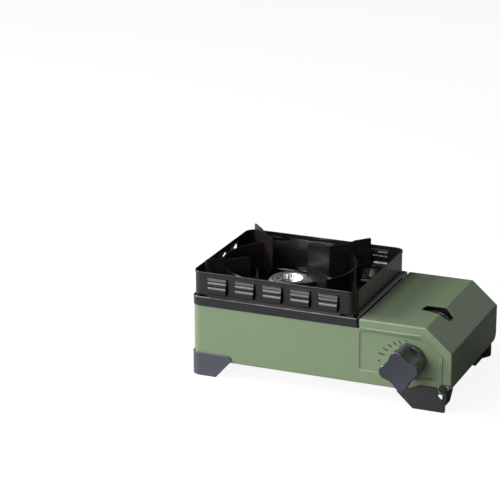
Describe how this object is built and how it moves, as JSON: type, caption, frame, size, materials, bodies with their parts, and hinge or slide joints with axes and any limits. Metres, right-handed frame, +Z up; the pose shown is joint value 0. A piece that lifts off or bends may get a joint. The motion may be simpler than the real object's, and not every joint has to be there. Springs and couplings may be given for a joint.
{
  "type": "portable gas stove",
  "caption": "Compact portable gas stove: sheet-metal body with burner, wind guard and pot support on the left, hinged cartridge lid and lobed knob on the right.",
  "frame": {"origin": "on the ground, at the middle of the overall width and depth", "axes": "+X to the right (burner left, cartridge lid right), +Y to the back, +Z up; the knob faces -Y"},
  "size_m": [0.2894, 0.1958, 0.1245],
  "materials": {
    "green_paint": "satin",
    "black_enamel": "gloss",
    "black_plastic": "satin",
    "zinc_screw": "satin",
    "galvanised_sheet": "satin",
    "heat_panel_aluminium": "satin",
    "die_cast_zinc": "cast",
    "polished_steel": "polished",
    "brass": "satin",
    "copper_pipe": "satin",
    "black_iron": "matt",
    "red_plastic": "satin",
    "steel_key": "satin",
    "igniter_plastic": "matt",
    "lead_insulation": "matt",
    "ceramic_sleeve": "gloss",
    "rubber_pad": "matt",
    "scale_print": "matt"
  },
  "bodies": {
    "chassis": {"bay_bulkhead": "black_iron", "body_shell": "green_paint", "bottom_tray": "green_paint", "burner_bowl": "black_iron", "burner_dish": "brass", "burner_ring": "polished_steel", "burner_screws": "zinc_screw", "burner_stand": "galvanised_sheet", "cartridge_cradle": "galvanised_sheet", "corner_screw": "black_iron", "dial_scale": "scale_print", "diaphragm_cover": "brass", "dish_posts": "galvanised_sheet", "electrode": "polished_steel", "electrode_bracket": "galvanised_sheet", "electrode_insulator": "ceramic_sleeve", "foot_front_left": "black_plastic", "foot_front_right": "black_plastic", "foot_rear_left": "black_plastic", "foot_rear_right": "black_plastic", "foot_screws": "zinc_screw", "gas_pipe": "copper_pipe", "heat_panel": "heat_panel_aluminium", "heat_shield": "galvanised_sheet", "hinge_brackets": "galvanised_sheet", "hinge_rod": "zinc_screw", "igniter_bracket": "galvanised_sheet", "igniter_housing": "igniter_plastic", "igniter_lead": "lead_insulation", "lead_clips": "rubber_pad", "lid_bumpers": "rubber_pad", "locator_key": "steel_key", "magnet_ring": "black_iron", "mixing_tube": "black_iron", "nozzle": "brass", "nozzle_bracket": "galvanised_sheet", "outlet_nipple": "brass", "receiver_cup": "red_plastic", "receiver_flange": "polished_steel", "regulator_body": "die_cast_zinc", "regulator_screws": "zinc_screw", "shaft_bush": "black_plastic"},
    "cartridge_lid": {"cartridge_lid": "green_paint"},
    "knob": {"knob": "black_plastic", "knob_shaft": "zinc_screw", "knob_cam": "igniter_plastic"},
    "valve_spindle": {"valve_spindle": "brass"},
    "igniter_plunger": {"igniter_plunger": "igniter_plastic"},
    "drip_pan": {"drip_pan": "black_enamel", "wind_guard": "black_enamel"},
    "pot_support": {"blade_front_left": "black_enamel", "blade_rear_left": "black_enamel", "blade_front_right": "black_enamel", "blade_rear_right": "black_enamel", "ring_arc_rear": "black_enamel", "ring_arc_left": "black_enamel", "ring_arc_front": "black_enamel", "ring_arc_right": "black_enamel"}
  },
  "joints": [
    {"name": "lid_hinge", "type": "hinge", "parent": "chassis", "child": "cartridge_lid", "pos_m": [0.04735, 0.01615, 0.0855], "axis": [0, -1, 0], "range_deg": [0, 90]},
    {"name": "knob_turn", "type": "hinge", "parent": "chassis", "child": "knob", "pos_m": [0.10015, -0.07145, 0.0509], "axis": [0, -1, 0], "range_deg": [0, 90]},
    {"name": "spindle_travel", "type": "slide", "parent": "chassis", "child": "valve_spindle", "axis": [0, -1, 0], "range_m": [0, 0.0013]},
    {"name": "plunger_travel", "type": "slide", "parent": "chassis", "child": "igniter_plunger", "axis": [0, 0, -1], "range_m": [0, 0.0031]},
    {"name": "pan_lift", "type": "slide", "parent": "chassis", "child": "drip_pan", "axis": [0, 0, 1], "range_m": [0, 0.08]},
    {"name": "support_lift", "type": "slide", "parent": "drip_pan", "child": "pot_support", "axis": [0, 0, 1], "range_m": [0, 0.06]}
  ],
  "couplings": [
    {"joint": "spindle_travel", "follows": "knob_turn", "m_per_rad": 0.00076394},
    {"joint": "plunger_travel", "follows": "knob_turn", "m_per_rad": 0.0019099}
  ]
}
